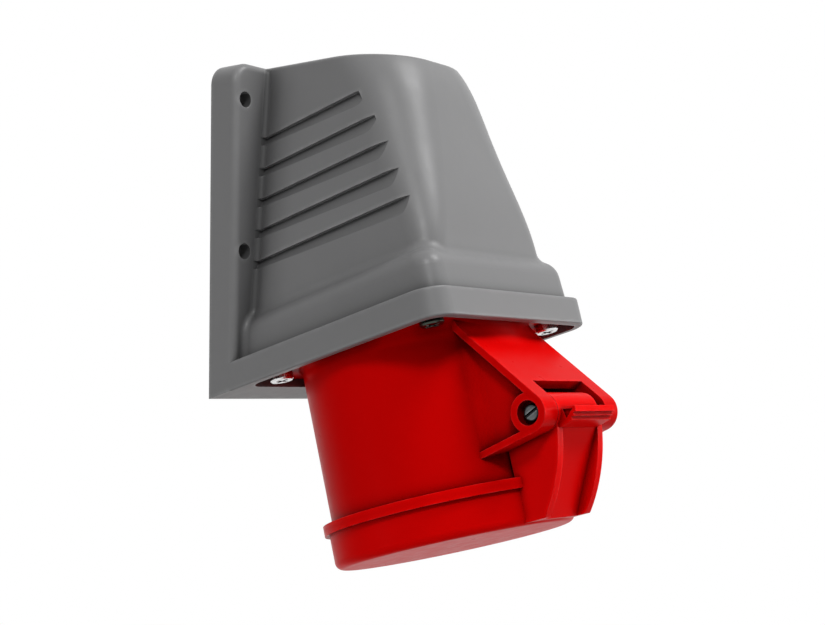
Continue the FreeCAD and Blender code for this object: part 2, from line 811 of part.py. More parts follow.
def arm_rib_solid(side):
    """A side rib of the lid's arm: an arched front edge, and a back that follows the barrel."""
    face = lid_face - arm_face_step
    back = barrel_centre + lid_side_r - 2 * lid_wall
    start = (hinge_v - arm_foot, face - arm_face_step)
    end = (hinge_v + arm_head, hinge_s)
    chord = math.hypot(end[0] - start[0], end[1] - start[1])
    middle = ((start[0] + end[0]) / 2 + arm_bow * (start[1] - end[1]) / chord,
              (start[1] + end[1]) / 2 + arm_bow * (end[0] - start[0]) / chord)
    x = min(side * arm_half, side * (arm_half - arm_rib))

    def at(p):
        return Vector(x, p[0], p[1])

    marks = [end, (hinge_v, hinge_s - arm_top_step), (back, hinge_s + arm_back_drop), (back, face),
             (start[0] - arm_face_step, face), start]
    edges = [line(at(a), at(b)) for a, b in zip(marks, marks[1:])]
    edges.append(Part.Arc(at(start), at(middle), at(end)).toShape())
    return Part.Face(Part.Wire(edges)).extrude(Vector(arm_rib, 0, 0))


def arm_panel():
    """The panel between the arm's ribs, set back from their front edges."""
    face = lid_face - arm_face_step
    back = barrel_centre + lid_side_r - 2 * lid_wall
    foot = (hinge_v - arm_foot - panel_step, face)
    head = (hinge_v + panel_head, hinge_s + panel_head_drop)
    length = math.hypot(head[0] - foot[0], head[1] - foot[1])
    inward = ((head[1] - foot[1]) / length * panel_thick, (foot[0] - head[0]) / length * panel_thick)
    points = [foot, head, (hinge_v, hinge_s), (head[0] + inward[0], head[1] + inward[1]),
              (foot[0] + inward[0], foot[1] + inward[1]), (back, foot[1] + inward[1]), (back, face)]
    return side_prism(points, -arm_half + arm_rib / 2, arm_half - arm_rib / 2)


def lid_tab():
    """The thumb tab, which stands out of the knuckle: stepped underneath and hollowed at its ends."""
    reach = tab_reach
    drop = tab_rise + tab_face
    marks = [(0, tab_rise / 2), (reach, tab_rise), (reach, drop)]
    for i in range(tab_steps):
        reach -= tab_step
        marks.append((reach, drop))
        drop += tab_step
        marks.append((reach, drop))
    marks += [(panel_head, drop + tab_step), (0, drop + tab_step)]
    tab = side_prism([(hinge_v + v, hinge_s + s) for v, s in marks], tab_start, tab_end)
    hollow = [(boss_r + tab_pocket / 2, tab_rise), (tab_reach - tab_step, tab_rise + tab_face / 3),
              (boss_r + tab_step, tab_rise + 1.6 * tab_face)]
    points = [(hinge_v + v, hinge_s + s) for v, s in hollow]
    ends = [side_prism(points, tab_start - 1, tab_start + tab_pocket), side_prism(points, tab_end - tab_pocket, tab_end + 1)]
    return tab.cut(ends)


def lid():
    """Lid, arm, knuckle and tab moulded in one; the knuckle is cut short for the spring."""
    inside = barrel_rod(lid_side_r - lid_wall / 2, ring_start / 2, lid_inside)
    round_barrel = barrel_rod(ring_inner_r, 0, ring_start + ring_step / 2)
    arm = arm_rib_solid(-1).fuse([arm_rib_solid(1), arm_panel()]).cut([inside, round_barrel])
    knuckle = hinge_rod(boss_r, knuckle_start, knuckle_end)
    body = lid_shell().fuse(lid_ribs() + [arm, knuckle, lid_tab()])
    cuts = [hinge_rod(pin_r + knuckle_bore_fit, -ear_outer, ear_outer),
            hinge_rod(spring_outer_r + spring_room, knuckle_end, ear_inner + 1)]
    return in_mouth(body.cut(cuts))


def lid_seal():
    inner = seal_in + seal_fit
    outer = lid_side_in - seal_fit
    slope = seal_lip / 3
    return in_mouth(turned(0, barrel_centre, [(inner, seal_start + slope), (inner + seal_lip, seal_start),
                                              (outer - seal_lip, seal_start), (outer, seal_start + slope),
                                              (outer, seal_end), (inner, seal_end)]))


def hinge_pin():
    """The pin: a rounded, slotted head in the left ear, and a groove for the clip at the right."""
    end = clip_x + clip_seat / 4 + 1.5 * clip_thick
    head_start = pin_start - pin_head_height
    pin = hinge_rod(pin_r, pin_start, end)
    head = hinge_rod(pin_head_r, head_start, pin_start)
    head = head.makeFillet(pin_head_edge, edges_at(head, lambda e: level(e, 0, head_start)))
    slot = Part.makeBox(pin_slot_width, 3 * pin_head_r, pin_slot_width,
                        Vector(head_start, hinge_v - 1.5 * pin_head_r, hinge_s - pin_slot_width / 2))
    slot.rotate(Vector(0, hinge_v, hinge_s), across, pin_slot_turn)
    groove = hinge_rod(pin_r + 1, clip_x + clip_seat / 4, clip_x + clip_seat / 4 + clip_thick)
    groove = groove.cut(hinge_rod(pin_r - clip_seat, -ear_outer, ear_outer))
    return in_mouth(pin.fuse(head).cut([slot, groove]))


def pin_clip():
    """A snap ring in the groove at the plain end of the hinge pin."""
    start = clip_x + clip_seat / 3
    end = start + clip_thick - clip_seat / 4
    ring = hinge_rod(pin_r + clip_thick, start, end).cut(hinge_rod(pin_r - clip_seat + 0.05, start - 1, end + 1))
    gap = Part.makeBox(clip_thick + 2, 2 * clip_thick, pin_r + 3, Vector(start - 1, hinge_v - clip_thick, hinge_s))
    return in_mouth(ring.cut(gap))


def spring_width():
    """How far the coil's ends stand apart, between the knuckle and the right ear."""
    return ear_inner - knuckle_end - 2 * spring_gap - spring_wire


def spring_leg_start():
    """The end of the coil, where its leg turns along the pin."""
    return Vector(ear_inner - spring_gap - spring_wire / 2, hinge_v - spring_r, hinge_s)


def spring_leg_length():
    return spring_gap + spring_wire / 2 + spring_leg_in


def lid_spring():
    """A torsion spring round the pin, beside the knuckle, with a leg in a hole of the right ear."""
    width = spring_width()
    coil = Part.makeHelix(width / spring_turns, width, spring_r)
    profile = Part.Wire([Part.makeCircle(spring_wire / 2, Vector(spring_r, 0, 0), Vector(0, 1, 0))])
    wire = Part.Wire(coil.Edges).makePipeShell([profile], True, True)
    first = Vector(knuckle_end + spring_gap + spring_wire / 2, hinge_v, hinge_s)
    wire.Placement = FreeCAD.Placement(first, FreeCAD.Rotation(Vector(0, -1, 0), outward, across, "ZXY"))
    start = spring_leg_start()
    elbow = Part.makeSphere(spring_wire / 2, start)
    leg = rod(start, across, spring_wire / 2, spring_leg_length())
    return in_mouth(wire.fuse([elbow, leg]))


def contact_bores(s0, s1):
    """Clear holes for the contacts' sleeves."""
    return [stud(x, v, bore_r + sleeve_wall + bore_clearance, s0, s1) for name, x, v, bore_r in contact_places()]


def contact_insert():
    """The front of the carrier: a round boss with the pin holes, on a spigot."""
    spigot_r = insert_r - spigot_inset
    profile = [(0, spigot_end), (spigot_r, spigot_end), (spigot_r, block_front), (insert_r, block_front),
               (insert_r, insert_face - insert_chamfer), (insert_r - insert_chamfer, insert_face), (0, insert_face)]
    cuts = contact_bores(spigot_end - 1, insert_face - face_thick)
    for name, x, v, bore_r in contact_places():
        cuts.append(stud(x, v, bore_r + face_hole_clearance, insert_face - face_thick - 1, insert_face + 1))
    return in_mouth(turned(0, barrel_centre, profile).cut(cuts))


def contact_block():
    """The back of the carrier: a disc against the collar, and a body that holds the contacts' shoulders."""
    spigot_r = insert_r - spigot_inset + spigot_fit
    flange_r = tube_r - block_gap
    flange_start = block_front - block_flange
    profile = [(0, -block_back), (block_r, -block_back), (block_r, flange_start), (flange_r, flange_start),
               (flange_r, block_front), (spigot_r, block_front), (spigot_r, spigot_end), (0, spigot_end)]
    cuts = contact_bores(-block_back - 1, block_front)
    for name, x, v, bore_r in contact_places():
        shoulder = bore_r + sleeve_wall + sleeve_shoulder + spigot_fit
        cuts.append(stud(x, v, shoulder, -block_back - 1, -block_back + shoulder_length))
    return in_mouth(turned(0, barrel_centre, profile).cut(cuts))


def contact(x, v, bore_r):
    """A turned brass sleeve with crossed slots, a shoulder and a terminal end."""
    outer = bore_r + sleeve_wall
    shoulder = outer + sleeve_shoulder
    front = sleeve_end
    bore_end = front - sleeve_bore_depth
    profile = [(0, terminal_back), (outer, terminal_back), (outer, -block_back), (shoulder, -block_back),
               (shoulder, -block_back + shoulder_length), (outer, -block_back + shoulder_length), (outer, front),
               (bore_r + sleeve_mouth, front), (bore_r, front - sleeve_mouth), (bore_r, bore_end), (0, bore_end)]
    slot_end = bore_end + sleeve_uncut
    size = outer + 1
    half = sleeve_slot / 2
    cuts = [rounded_plate(x - size, x + size, v - half, v + half, [0] * 4, slot_end, front + 1),
            rounded_plate(x - half, x + half, v - size, v + size, [0] * 4, slot_end, front + 1),
            stud(x, v, wire_hole_r, terminal_back - 1, retainer_back - wire_hole_floor)]
    out = Vector(x, v - barrel_centre, 0).normalize()
    for s in terminal_screw_levels():
        cuts.append(rod(Vector(x, v, s), out, terminal_screw_r + pin_fit, outer + 1))
    return in_mouth(turned(x, v, profile).cut(cuts))


def terminal_screw_levels():
    first = terminal_back + terminal_screw_first
    return [first, first + terminal_screw_pitch]


def terminal_screws():
    solids = []
    depth = terminal_screw_slot
    for name, x, v, bore_r in contact_places():
        out = Vector(x, v - barrel_centre, 0).normalize()
        for s in terminal_screw_levels():
            start = Vector(x, v, s) + out * (bore_r + sleeve_wall - terminal_screw_in)
            screw = rod(start, out, terminal_screw_r, terminal_screw_length)
            end = start + out * terminal_screw_length
            slot = Part.makeBox(3 * terminal_screw_r, depth, 2 * depth, Vector(-1.5 * terminal_screw_r, -depth / 2, -depth))
            slot.Placement = FreeCAD.Placement(end, FreeCAD.Rotation(outward, out))
            solids.append(in_mouth(screw.cut(slot)))
    return Part.makeCompound(solids)


def contact_springs():
    """Split rings that close the slotted sleeves on the plug's pins."""
    solids = []
    high = sleeve_end - spring_ring_back + spring_ring_height
    low = high - spring_ring_height
    for name, x, v, bore_r in contact_places():
        inner = bore_r + sleeve_wall
        ring = stud(x, v, inner + spring_ring_thick, low, high).cut(stud(x, v, inner, low - 1, high + 1))
        half = spring_ring_gap / 2
        gap = rounded_plate(x - half, x + half, v, v + 2 * inner, [0] * 4, low - 1, high + 1)
        gap.rotate(Vector(x, v, 0), outward, 45)
        solids.append(in_mouth(ring.cut(gap)))
    return Part.makeCompound(solids)


def carrier_retainer():
    """The plate behind the carrier, which holds carrier and contacts in the barrel."""
    x, v = retainer_places()[-1]
    half_x = x + retainer_boss_r
    half_v = v - barrel_centre + retainer_boss_r
    plate = rounded_plate(-half_x, half_x, barrel_centre - half_v, barrel_centre + half_v, [retainer_boss_r] * 4,
                          retainer_back, -block_back)
    cuts = []
    for name, x, v, bore_r in contact_places():
        cuts.append(stud(x, v, bore_r + sleeve_wall + screw_clearance, retainer_back - 1, -block_back + 1))
    for x, v in retainer_places():
        cuts.append(stud(x, v, retainer_screw_r + screw_clearance, retainer_back - 1, -block_back + 1))
    return in_mouth(plate.cut(cuts))


def carrier_screws():
    solids = []
    low = retainer_back - retainer_screw_head
    half = retainer_screw_head_r
    for x, v in retainer_places():
        head = stud(x, v, retainer_screw_head_r, low, retainer_back)
        shank = stud(x, v, retainer_screw_r, low, retainer_back + retainer_screw_length)
        slot = rounded_plate(x - half, x + half, v - screw_clearance * 2, v + screw_clearance * 2, [0] * 4,
                             low - 1, low + retainer_screw_head / 2)
        solids.append(in_mouth(head.fuse(shank).cut(slot)))
    return Part.makeCompound(solids)


def entry_rod(r, z0, z1):
    """A cylinder about the axis of the cable entry."""
    return rod(Vector(0, -entry_y, z0), outward, r, z1 - z0)


def entry_washer():
    washer = entry_rod(entry_head_r - entry_fit, hood_above, roof_seat)
    return washer.cut(entry_rod(entry_r - entry_fit / 2, hood_above - 1, roof_seat + 1))


def entry_plug():
    """The blanking plug in the cable entry: a slotted head, and a hollow stem through the roof."""
    top = roof_seat + entry_head
    head = entry_rod(entry_head_r, roof_seat, top)
    head = head.makeFillet(entry_head_edge, edges_at(head, lambda e: level(e, 2, top)))
    stem = entry_rod(entry_r - entry_fit, roof_seat - entry_length, roof_seat)
    bore = entry_rod(entry_r - entry_fit - entry_wall, roof_seat - entry_length - 1, roof_seat - 1)
    reach = 0.7 * entry_head_r
    half = entry_slot_width / 2
    slot = Part.makeBox(2 * reach, 2 * half, entry_slot_depth + 1, Vector(-reach, -entry_y - half, top - entry_slot_depth))
    return head.fuse(stem).cut([bore, slot])


def entry_nut():
    """The hexagonal lock nut under the roof."""
    r = nut_flats / 2 / math.cos(math.radians(30))
    top = hood_above - wall
    corners = [math.radians(60 * i) for i in range(6)]
    points = [Vector(r * math.cos(c), r * math.sin(c) - entry_y, top - nut_thick) for c in corners]
    nut = polygon(points).extrude(Vector(0, 0, nut_thick))
    return nut.cut(entry_rod(entry_r - entry_fit, top - nut_thick - 1, top + 1))


def build():
    nodes = {
        "wall_box": wall_box(),
        "box_gasket": box_gasket(),
        "socket_housing": socket_housing(),
        "flange_screws": flange_screws(),
        "lid": lid(),
        "lid_seal": lid_seal(),
        "hinge_pin": hinge_pin(),
        "pin_clip": pin_clip(),
        "lid_spring": lid_spring(),
        "contact_insert": contact_insert(),
        "contact_block": contact_block(),
        "carrier_retainer": carrier_retainer(),
        "carrier_screws": carrier_screws(),
        "terminal_screws": terminal_screws(),
        "contact_springs": contact_springs(),
        "entry_washer": entry_washer(),
        "entry_plug": entry_plug(),
        "entry_nut": entry_nut(),
    }
    for name, x, v, bore_r in contact_places():
        nodes[name] = contact(x, v, bore_r)
    return nodes


os.makedirs("parts", exist_ok=True)
for node, shape in build().items():
    shape.exportStep("parts/" + node + ".step")
    print(node, len(shape.Solids), "solids", round(shape.Volume), "mm3", shape.isValid())
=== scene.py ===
import bpy
import math
from mathutils import Matrix, Vector

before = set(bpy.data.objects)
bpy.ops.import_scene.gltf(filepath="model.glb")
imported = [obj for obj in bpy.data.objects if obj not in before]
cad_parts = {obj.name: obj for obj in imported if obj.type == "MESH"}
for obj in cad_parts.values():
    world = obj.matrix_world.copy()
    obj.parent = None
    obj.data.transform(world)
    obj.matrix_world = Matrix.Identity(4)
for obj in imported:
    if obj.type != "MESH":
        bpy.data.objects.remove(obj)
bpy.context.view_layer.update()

mm = 0.001

# Camera, in metres, degrees and millimetres of lens and sensor
camera_place = Vector((-0.4079, -0.3685, -0.0750))
camera_turn = 52.245
camera_pitch = 3.172
camera_lens = 65.76
camera_sensor = 36.0
camera_near = 0.01
camera_far = 50.0

# Floor, well below the part, which hangs on a wall.
# Where it is seen it is partly white near the part, and all white far out
floor_level = -0.42
floor_half = 6.0
floor_fade_start = 0.6
floor_fade_end = 1.8
floor_white_near = 0.72
floor_grain = 3 * mm
floor_dark = 0.50
floor_light = 0.56

# World, a soft dome that is darker below than above
dome_dark = 0.12
dome_light = 0.17
dome_low = -0.6
dome_high = 0.8

# What the lamps aim at
part_middle = (0.0, -0.06, -0.04)
barrel_middle = (0.0, -0.06, -0.10)

# Grooves of the hood: all lie above a line that rises with them towards the front.
# Their floors lean back and up and get painted shade, and their upper walls face down and get painted light
groove_rise = 0.281
groove_line = -0.038
groove_soft = 1 * mm
groove_floor_back = (0.03, 0.05)
groove_floor_up = (0.14, 0.18)
groove_floor_shade = 0.74
groove_wall_down = (-0.85, -0.90)
groove_wall_light = 1.15

# Roots of the wings: small rounds between them and the hood's sides get painted shade.
# They face the front and one side, near the wall and within a given distance from the middle
root_front = 16 * mm
root_front_soft = 0.5 * mm
root_side = 37.5 * mm
root_side_soft = 1 * mm
root_faces_front = (-0.06, -0.20)
root_faces_side = (0.15, 0.35)
root_shade = 0.38

# Mouth of the hood: which way is down through its plane, and how far below the origin it lies.
# Only further down than the fade do the housing's pockets get painted shade
mouth_down = (0.0, -0.2588, -0.9659)
mouth_below = 0.0734
mouth_fade_start = 2 * mm
mouth_fade_end = 8 * mm

# Painted shade on one screw head, in front of this line and left of the middle, where it lies under the lip
shaded_screw_front = -0.05
shaded_screw_soft = 1 * mm

# Noise, where most of its values lie
noise_low = 0.3
noise_high = 0.7

# Edges and recesses, by how much of the space round a point is free
edge_samples = 8
edge_free = (0.97, 0.55)
recess_samples = 8
round_samples = 6

# Moulded plastic: sizes of its clouds, mottle and grain, and the relief of the last two.
# Its gloss varies with the mottle, by these steps below and above its mean
cloud_size = 40 * mm
mottle_size = 5 * mm
grain_size = 0.35 * mm
mottle_spots = (0.35, 0.75)
mottle_share = 0.35
mottle_gain = 1.5
mottle_relief = 0.05
mottle_height = 0.4 * mm
grain_height = 0.06 * mm
plastic_round = 0.35 * mm
plastic_open = 0.92
plastic_smoother = 0.04
plastic_rougher = 0.05

# Lighter edges of moulded plastic: a broad band along edges that is partly wear and partly painted
# highlight, and a fine painted highlight line on them
wear_highlight_reach = 1.6 * mm
wear_highlight_low = 0.45
wear_highlight_high = 0.95
worn_gloss = 0.08
highlight_line_reach = 0.30 * mm
highlight_line_low = 0.05
highlight_line_high = 0.45
edge_light_patches = (0.40, 0.60)

# Worked metal: sizes of its tool marks and tarnish, its relief, its bright edges and the painted shade in
# its recesses.
# Its gloss varies with the marks, and tarnish makes it rougher
mark_size = 0.25 * mm
mark_stretch = (1.0, 0.08, 1.0)
mark_relief = 0.12
mark_height = 0.03 * mm
mark_step = 0.06
tarnish_size = 2.5 * mm
tarnish_spots = (0.35, 0.70)
tarnish_dull_spots = (0.4, 0.7)
tarnish_rougher = 0.12
metal_round = 0.15 * mm
metal_edge_reach = 0.5 * mm
metal_edge_share = 0.7
metal_recess_reach = 1.6 * mm
metal_recess_free = (0.45, 0.95)

# Rubber: sizes of its dust and pores, and the relief of the pores
dust_size = 6 * mm
dust_spots = (0.45, 0.75)
dust_share = 0.6
dust_gain = 2.2
rubber_gloss = (0.55, 0.75)
pore_size = 0.5 * mm
pore_relief = 0.25
pore_height = 0.08 * mm

# Colours of the red gloss, of the painted highlight lines on edges, of the painted shade on one screw head
# and of the white world
red_gloss_tint = (1.0, 0.06, 0.06, 1.0)
red_edge_highlight = (0.85, 0.06, 0.06, 1.0)
grey_edge_highlight = (0.34, 0.34, 0.34, 1.0)
shaded_zinc = (0.060, 0.075, 0.062, 1.0)
white = (1.0, 1.0, 1.0, 1.0)

# Numbers of the colour mix's sockets
mix_share = 0
mix_first = 6
mix_second = 7
mix_result = 2


def make_camera():
    turn = math.radians(camera_turn)
    pitch = math.radians(camera_pitch)
    level = math.cos(pitch)
    forward = Vector((math.sin(turn) * level, math.cos(turn) * level, math.sin(pitch)))
    right = Vector((math.cos(turn), -math.sin(turn), 0))
    up = right.cross(forward)
    data = bpy.data.cameras.new("camera")
    data.sensor_width = camera_sensor
    data.lens = camera_lens
    data.clip_start = camera_near
    data.clip_end = camera_far
    camera = bpy.data.objects.new("camera", data)
    bpy.context.scene.collection.objects.link(camera)
    rows = [[right[i], up[i], -forward[i], camera_place[i]] for i in range(3)]
    camera.matrix_world = Matrix(rows + [[0, 0, 0, 1]])
    bpy.context.scene.camera = camera


class Tree:
    """A node tree with short calls for adding nodes and joining them."""

    def __init__(self, tree):
        self.tree = tree
        tree.nodes.clear()

    def join(self, value, socket):
        """Links another node's output to a socket, or sets the socket to a value."""
        if isinstance(value, bpy.types.NodeSocket):
            self.tree.links.new(value, socket)
        else:
            socket.default_value = value

    def add(self, kind, settings=None, **inputs):
        """Adds a node. An input goes by its name, or by i and its number."""
        made = self.tree.nodes.new(kind)
        for key, value in (settings or {}).items():
            setattr(made, key, value)
        for key, value in inputs.items():
            numbered = key[0] == "i" and key[1:].isdigit()
            self.join(value, made.inputs[int(key[1:]) if numbered else key.replace("_", " ")])
        return made

    def math(self, operation, a, b=0.0, c=0.0):
        return self.add("ShaderNodeMath", {"operation": operation}, i0=a, i1=b, i2=c).outputs[0]

    def spread(self, value, low, high, out_low=0.0, out_high=1.0):
        """Maps a value from one range to another, clamped."""
        return self.add("ShaderNodeMapRange", {"clamp": True}, Value=value, From_Min=low, From_Max=high,
                        To_Min=out_low, To_Max=out_high).outputs[0]

    def noise(self, where, size, detail=3.0, rough=0.5, distortion=0.0):
        return self.add("ShaderNodeTexNoise", Vector=where, Scale=1 / size, Detail=detail, Roughness=rough,
                        Distortion=distortion).outputs[0]

    def blend(self, share, a, b):
        """Mixes two colours by a share from 0 to 1."""
        made = self.add("ShaderNodeMix", {"data_type": "RGBA"})
        self.join(share, made.inputs[mix_share])
        self.join(a, made.inputs[mix_first])
        self.join(b, made.inputs[mix_second])
        return made.outputs[mix_result]

    def place(self):
        """Where a point lies on its own piece at rest."""
        return self.add("ShaderNodeTexCoord").outputs["Object"]

    def parts(self, vector):
        """The three parts of a vector."""
        return self.add("ShaderNodeSeparateXYZ", Vector=vector).outputs

    def facing(self):
        """The three parts of the surface's own normal."""
        return self.parts(self.add("ShaderNodeNewGeometry").outputs["True Normal"])

    def rounded(self, radius):
        """The surface's normal with sharp edges slightly rounded."""
        return self.add("ShaderNodeBevel", {"samples": round_samples}, Radius=radius).outputs[0]

    def relief(self, strength, distance, height, normal):
        return self.add("ShaderNodeBump", {}, Strength=strength, Distance=distance, Height=height,
                        Normal=normal).outputs[0]

    def edge(self, reach):
        """How near a point is to an outer edge, from 0 to 1, whether the edge is sharp or rounded."""
        settings = {"samples": edge_samples, "inside": True, "only_local": True}
        inner = self.add("ShaderNodeAmbientOcclusion", settings, Distance=reach)
        return self.spread(inner.outputs["AO"], *edge_free)

    def open(self, reach, low, high, own=False):
        """From 0 well inside a recess to 1 in the open, the share for painted shade; own counts only the
        piece's own recesses.
        """
        settings = {"samples": recess_samples, "only_local": own}
        outer = self.add("ShaderNodeAmbientOcclusion", settings, Distance=reach)
        return self.spread(outer.outputs["AO"], low, high)

    def seen(self):
        """1 for a ray from the camera, a mirror or a clear body, and 0 for the light on a surface."""
        rays = self.add("ShaderNodeLightPath").outputs
        indirect = self.math("MAXIMUM", rays["Is Glossy Ray"], rays["Is Transmission Ray"])
        return self.math("MAXIMUM", rays["Is Camera Ray"], indirect)


def shade(color, factor):
    return tuple(min(c * factor, 1.0) for c in color) + (1.0,)


def grey(tone):
    return (tone, tone, tone, 1.0)


def new_material(name):
    material = bpy.data.materials.new(name)
    material.use_nodes = True
    return material, Tree(material.node_tree)


def groove_shares(t, where):
    """Where the hood's slanted grooves have their floors and their upper walls, each from 0 to 1, for their
    painted shade and painted light.
    """
    facing = t.facing()
    spot = t.parts(where)
    height = t.math("MULTIPLY_ADD", spot["Y"], groove_rise, spot["Z"])
    near = t.spread(height, groove_line - groove_soft, groove_line + groove_soft)
    back = t.math("MULTIPLY", near, t.spread(facing["Y"], *groove_floor_back))
    floors = t.math("MULTIPLY", back, t.spread(facing["Z"], *groove_floor_up))
    walls = t.math("MULTIPLY", near, t.spread(facing["Z"], *groove_wall_down))
    return floors, walls


def root_shade_share(t, where):
    """Where the hood's sides run into the wings with a small round, from 0 to 1, for its painted shade."""
    facing = t.facing()
    spot = t.parts(where)
    front = t.spread(facing["Y"], *root_faces_front)
    side = t.spread(t.math("ABSOLUTE", facing["X"]), *root_faces_side)
    turned = t.math("MULTIPLY", front, side)
    rear = t.spread(spot["Y"], -root_front - root_front_soft, -root_front + root_front_soft)
    inner = t.spread(t.math("ABSOLUTE", spot["X"]), root_side, root_side - root_side_soft)
    return t.math("MULTIPLY", turned, t.math("MULTIPLY", rear, inner))


def above_mouth(t, where):
    """From 0 well below the mouth's plane to 1 above it."""
    dot = t.add("ShaderNodeVectorMath", {"operation": "DOT_PRODUCT"}, i0=where, i1=mouth_down)
    down = dot.outputs["Value"]
    return t.spread(down, mouth_below + mouth_fade_start, mouth_below + mouth_fade_end, 1.0, 0.0)


def moulded(name, color, rough, grain=0.10, wear_and_highlight=1.25, tint=None, level=0.5, cloud=0.05, reach=6.0 * mm,
            recess_shade=0.35, shut=0.35, grooved=False, pocket_shade=None, below_mouth=False, edge_highlight=None):
    """Moulded plastic: faint clouding, a fine grain, uneven gloss, edges made lighter partly by wear and
    partly as painted highlight, and painted shade in its recesses.
    """
    material, t = new_material(name)
    where = t.place()
    clouds = t.noise(where, cloud_size, detail=3.0, rough=0.55, distortion=0.4)
    mottle = t.noise(where, mottle_size, detail=4.0, rough=0.6)
    fine = t.noise(where, grain_size, detail=2.0, rough=0.5)

    # Clouds and mottle
    cloudy = t.spread(clouds, noise_low, noise_high)
    base = t.blend(cloudy, shade(color, 1 - cloud), shade(color, 1 + cloud))
    spotty = t.spread(mottle, *mottle_spots, 0.0, mottle_share)
    base = t.blend(spotty, base, shade(color, 1 + mottle_gain * cloud))

    # Edges lighter, partly from wear and partly as painted highlight
    patchy = t.spread(mottle, *edge_light_patches, wear_highlight_low, wear_highlight_high)
    worn_and_highlit = t.math("MULTIPLY", t.edge(wear_highlight_reach), patchy)
    base = t.blend(worn_and_highlit, base, shade(color, wear_and_highlight))

    # Painted shade on groove floors, in recesses and in pockets, then painted light on groove walls and
    # painted shade at the wing roots
    if grooved:
        floors, walls = groove_shares(t, where)
        base = t.blend(floors, base, shade(color, groove_floor_shade))
    base = t.blend(t.open(reach, shut, plastic_open), shade(color, recess_shade), base)
    if pocket_shade:
        free = t.open(pocket_shade["reach"], pocket_shade["shut"], pocket_shade["open"], own=True)
        if below_mouth:
            free = t.math("MAXIMUM", free, above_mouth(t, where))
        base = t.blend(free, shade(color, pocket_shade["tone"]), base)
    if grooved:
        base = t.blend(walls, base, shade(color, groove_wall_light))
        base = t.blend(root_shade_share(t, where), base, shade(color, root_shade))

    # Painted highlight lines on the edges
    if edge_highlight:
        patchy = t.spread(mottle, *edge_light_patches, highlight_line_low, highlight_line_high)
        base = t.blend(t.math("MULTIPLY", t.edge(highlight_line_reach), patchy), base, edge_highlight)

    # Gloss and relief
    gloss = t.spread(mottle, noise_low, noise_high, rough - plastic_smoother, rough + plastic_rougher)
    gloss = t.math("SUBTRACT", gloss, t.math("MULTIPLY", worn_and_highlit, worn_gloss))
    swell = t.relief(mottle_relief, mottle_height, mottle, t.rounded(plastic_round))
    bump = t.relief(grain, grain_height, fine, swell)
    shader = t.add("ShaderNodeBsdfPrincipled", Base_Color=base, Roughness=gloss, Normal=bump)
    shader.inputs["Specular IOR Level"].default_value = level
    if tint:
        shader.inputs["Specular Tint"].default_value = tint
    t.add("ShaderNodeOutputMaterial", Surface=shader.outputs[0])
    return material


def metal(name, color, rough, tarnish=0.75, edge_gain=1.15, recess_shade=0.12, screw_shade=None):
    """Worked metal: fine tool marks, patches of tarnish, bright edges and painted shade in recesses."""
    material, t = new_material(name)
    where = t.place()
    stretched = t.add("ShaderNodeMapping", Vector=where, Scale=mark_stretch).outputs[0]
    marks = t.noise(stretched, mark_size, detail=3.0, rough=0.6)
    patches = t.noise(where, tarnish_size, detail=4.0, rough=0.65, distortion=0.5)

    # Tarnish, bright edges, painted shade on one screw head and painted shade in recesses
    base = t.blend(t.spread(patches, *tarnish_spots), shade(color, 1.0), shade(color, tarnish))
    bright = t.math("MULTIPLY", t.edge(metal_edge_reach), metal_edge_share)
    base = t.blend(bright, base, shade(color, edge_gain))
    if screw_shade:
        spot = t.parts(where)
        left = t.spread(spot["X"], shaded_screw_soft, -shaded_screw_soft)
        front = t.spread(spot["Y"], shaded_screw_front + shaded_screw_soft, shaded_screw_front - shaded_screw_soft)
        base = t.blend(t.math("MULTIPLY", left, front), base, screw_shade)
    base = t.blend(t.open(metal_recess_reach, *metal_recess_free), shade(color, recess_shade), base)

    # Gloss and relief
    polish = t.spread(marks, noise_low, noise_high, rough - mark_step, rough + mark_step)
    gloss = t.math("ADD", polish, t.spread(patches, *tarnish_dull_spots, 0.0, tarnish_rougher))
    bump = t.relief(mark_relief, mark_height, marks, t.rounded(metal_round))
    shader = t.add("ShaderNodeBsdfPrincipled", Base_Color=base, Roughness=gloss, Normal=bump)
    shader.inputs["Metallic"].default_value = 1.0
    t.add("ShaderNodeOutputMaterial", Surface=shader.outputs[0])
    return material


def rubber(name, color):
    """Black rubber: matt, slightly dusty, with a soft uneven surface."""
    material, t = new_material(name)
    where = t.place()
    dust = t.noise(where, dust_size, detail=5.0, rough=0.7)
    pores = t.noise(where, pore_size, detail=2.0, rough=0.5)
    dusty = t.spread(dust, *dust_spots, 0.0, dust_share)
    base = t.blend(dusty, shade(color, 1.0), shade(color, dust_gain))
    gloss = t.spread(dust, noise_low, noise_high, *rubber_gloss)
    bump = t.add("ShaderNodeBump", {}, Strength=pore_relief, Distance=pore_height, Height=pores).outputs[0]
    shader = t.add("ShaderNodeBsdfPrincipled", Base_Color=base, Roughness=gloss, Normal=bump)
    t.add("ShaderNodeOutputMaterial", Surface=shader.outputs[0])
    return material


